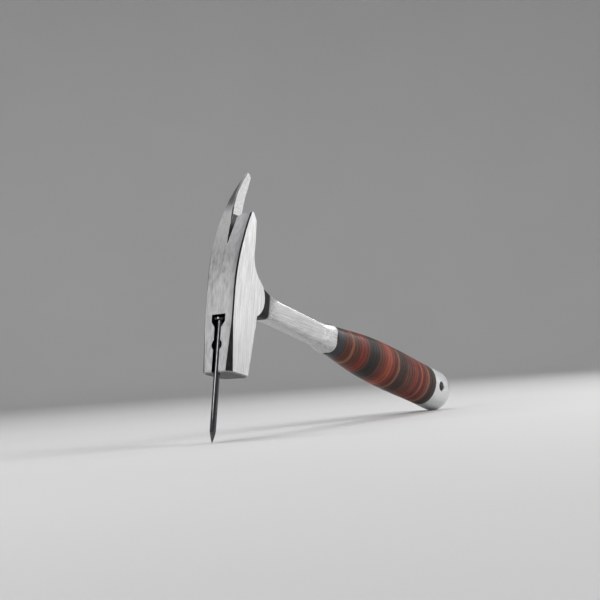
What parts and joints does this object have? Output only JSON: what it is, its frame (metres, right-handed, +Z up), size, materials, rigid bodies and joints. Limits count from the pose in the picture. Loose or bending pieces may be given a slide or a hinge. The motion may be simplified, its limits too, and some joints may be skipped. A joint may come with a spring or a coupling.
{
  "type": "roofing hammer",
  "caption": "Forged roofing hammer with a square striking face, magnetic nail starter holding a nail, spike and short claw, leather-ring grip and steel end cap.",
  "frame": {"origin": "on the surface it stands on, under the middle of its bounding box, with the nail's tip and the underside of the end cap both touching that surface", "axes": "+Z up, +X from the head towards the grip end, +Y across the tool towards the spike's side"},
  "size_m": [0.3344, 0.0314, 0.1879],
  "materials": {
    "forged_steel": "forged, belt-ground and satin polished",
    "magnet": "nickel-plated",
    "spacer": "black, buffed",
    "leather_brown": "cut edge, sanded flush and lacquered",
    "leather_tan": "cut edge, sanded flush and lacquered",
    "leather_red": "cut edge, sanded flush and lacquered",
    "leather_orange": "cut edge, sanded flush and lacquered",
    "leather_dark": "cut edge, sanded flush and lacquered",
    "leather_black": "cut edge, sanded flush and lacquered",
    "leather_oxblood": "cut edge, sanded flush and lacquered",
    "cap_steel": "satin, fine turned marks",
    "tube_steel": "plain turned",
    "nail_steel": "bright drawn wire, dark oil finish"
  },
  "bodies": {
    "hammer": {"forged_hammer": "forged_steel", "nail_magnet": "magnet", "front_spacer": "spacer", "leather_ring_01": "leather_brown", "leather_ring_02": "leather_brown", "leather_ring_03": "leather_tan", "leather_ring_04": "leather_brown", "leather_ring_05": "leather_brown", "leather_ring_06": "leather_red", "leather_ring_07": "leather_red", "leather_ring_08": "leather_brown", "leather_ring_09": "leather_black", "leather_ring_10": "leather_black", "leather_ring_11": "leather_black", "leather_ring_12": "leather_brown", "leather_ring_13": "leather_brown", "leather_ring_14": "leather_red", "leather_ring_15": "leather_orange", "leather_ring_16": "leather_orange", "leather_ring_17": "leather_red", "leather_ring_18": "leather_oxblood", "leather_ring_19": "leather_tan", "leather_ring_20": "leather_dark", "leather_ring_21": "leather_dark", "leather_ring_22": "leather_dark", "leather_ring_23": "leather_brown", "leather_ring_24": "leather_brown", "leather_ring_25": "leather_brown", "leather_ring_26": "leather_red", "leather_ring_27": "leather_red", "leather_ring_28": "leather_oxblood", "leather_ring_29": "leather_orange", "leather_ring_30": "leather_oxblood", "leather_ring_31": "leather_red", "leather_ring_32": "leather_tan", "leather_ring_33": "leather_dark", "leather_ring_34": "leather_dark", "rear_spacer": "spacer", "end_cap": "cap_steel", "lanyard_tube": "tube_steel"},
    "nail": {"nail": "nail_steel"}
  },
  "joints": [
    {"name": "nail_release", "type": "slide", "parent": "hammer", "child": "nail", "axis": [-0.9753, 0, 0.2208], "range_m": [0, 0.03]}
  ]
}
